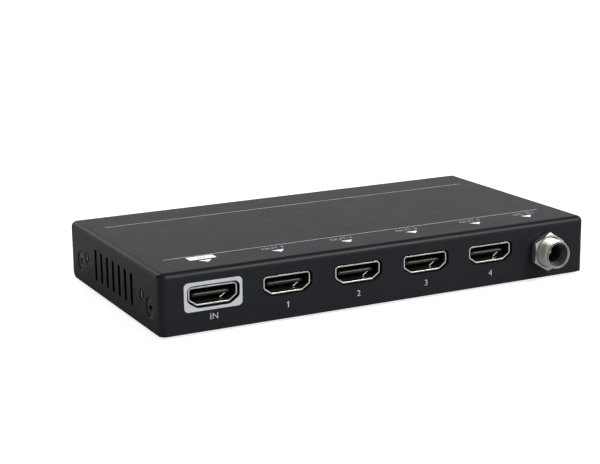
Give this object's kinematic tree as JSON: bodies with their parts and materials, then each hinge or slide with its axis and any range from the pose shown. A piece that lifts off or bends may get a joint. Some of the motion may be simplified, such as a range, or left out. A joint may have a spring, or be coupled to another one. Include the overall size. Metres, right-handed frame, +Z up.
{
  "type": "video splitter",
  "caption": "Low folded-metal box with one input socket, a row of output sockets and a nut-fixed power jack on one long face; vents and mounting holes in both sides.",
  "frame": {"origin": "below the middle of the whole object, on the surface that the rubber feet stand on", "axes": "+X along the case to the power jack's end, -Y out of the socket panel, +Z up"},
  "size_m": [0.143, 0.0804, 0.0188],
  "materials": {
    "cover_paint": "fine matt black powder paint on folded steel",
    "tray_paint": "fine matt black powder paint on folded steel",
    "foot_rubber": "matt black",
    "zinc_steel": "zinc plated",
    "black_steel": "black zinc",
    "board_laminate": "satin dark green solder mask on glass laminate",
    "film": "matt dark polyester film",
    "shell_metal": "satin nickel plate",
    "tongue_plastic": "matt black",
    "contact_metal": "gold flash",
    "nickel_plate": "satin nickel plate",
    "jack_plastic": "matt black",
    "tin_plate": "bright tin",
    "light_lens": "clear tinted resin",
    "holder_plastic": "matt black",
    "switch_plastic": "satin blue",
    "lever_plastic": "satin white",
    "chip_plastic": "matt moulding compound",
    "pad_rubber": "soft grey",
    "sink_metal": "black anodised",
    "ferrite": "pressed dark powder",
    "can_metal": "drawn bright",
    "crystal_metal": "bright nickel lid",
    "fuse_plastic": "gloss",
    "print_ink": "thin screen-printed marks in pale grey",
    "ceramic": "tan ceramic"
  },
  "bodies": {
    "case": {"base_tray": "tray_paint", "board_pillars": "zinc_steel", "board_screws": "zinc_steel", "capacitor_bases": "holder_plastic", "capacitor_cans": "can_metal", "ceramic_capacitors": "ceramic", "clock_crystals": "crystal_metal", "control_chip": "chip_plastic", "control_chip_leads": "tin_plate", "heat_sink": "sink_metal", "inductors": "ferrite", "input_contacts": "contact_metal", "input_fuse": "fuse_plastic", "input_shell": "shell_metal", "input_tongue": "tongue_plastic", "insulating_film": "film", "jack_barrel": "nickel_plate", "jack_housing": "jack_plastic", "jack_lugs": "tin_plate", "jack_nut": "nickel_plate", "jack_pin": "nickel_plate", "jack_spring": "nickel_plate", "jack_washer": "nickel_plate", "light_holders": "holder_plastic", "light_leads": "tin_plate", "line_drivers": "chip_plastic", "main_board": "board_laminate", "memory_chip_leads": "tin_plate", "memory_chips": "chip_plastic", "output_1_contacts": "contact_metal", "output_1_shell": "shell_metal", "output_1_tongue": "tongue_plastic", "output_2_contacts": "contact_metal", "output_2_shell": "shell_metal", "output_2_tongue": "tongue_plastic", "output_3_contacts": "contact_metal", "output_3_shell": "shell_metal", "output_3_tongue": "tongue_plastic", "output_4_contacts": "contact_metal", "output_4_shell": "shell_metal", "output_4_tongue": "tongue_plastic", "press_nuts": "zinc_steel", "regulators": "chip_plastic", "resistors": "chip_plastic", "rubber_feet": "foot_rubber", "side_screws": "black_steel", "splitter_chip": "chip_plastic", "splitter_chip_leads": "tin_plate", "status_lights": "light_lens", "surge_arrays": "chip_plastic", "switch_base": "switch_plastic", "switch_cover": "switch_plastic", "switch_terminals": "tin_plate", "thermal_pad": "pad_rubber", "top_cover": "cover_paint"},
    "lever_1": {"switch_lever_1": "lever_plastic"},
    "lever_2": {"switch_lever_2": "lever_plastic"},
    "lever_3": {"switch_lever_3": "lever_plastic"},
    "lever_4": {"switch_lever_4": "lever_plastic"}
  },
  "joints": [
    {"name": "lever_1_slide", "type": "slide", "parent": "case", "child": "lever_1", "axis": [0, 0, 1], "range_m": [0, 0.0016]},
    {"name": "lever_2_slide", "type": "slide", "parent": "case", "child": "lever_2", "axis": [0, 0, 1], "range_m": [0, 0.0016]},
    {"name": "lever_3_slide", "type": "slide", "parent": "case", "child": "lever_3", "axis": [0, 0, 1], "range_m": [0, 0.0016]},
    {"name": "lever_4_slide", "type": "slide", "parent": "case", "child": "lever_4", "axis": [0, 0, 1], "range_m": [0, 0.0016]}
  ]
}
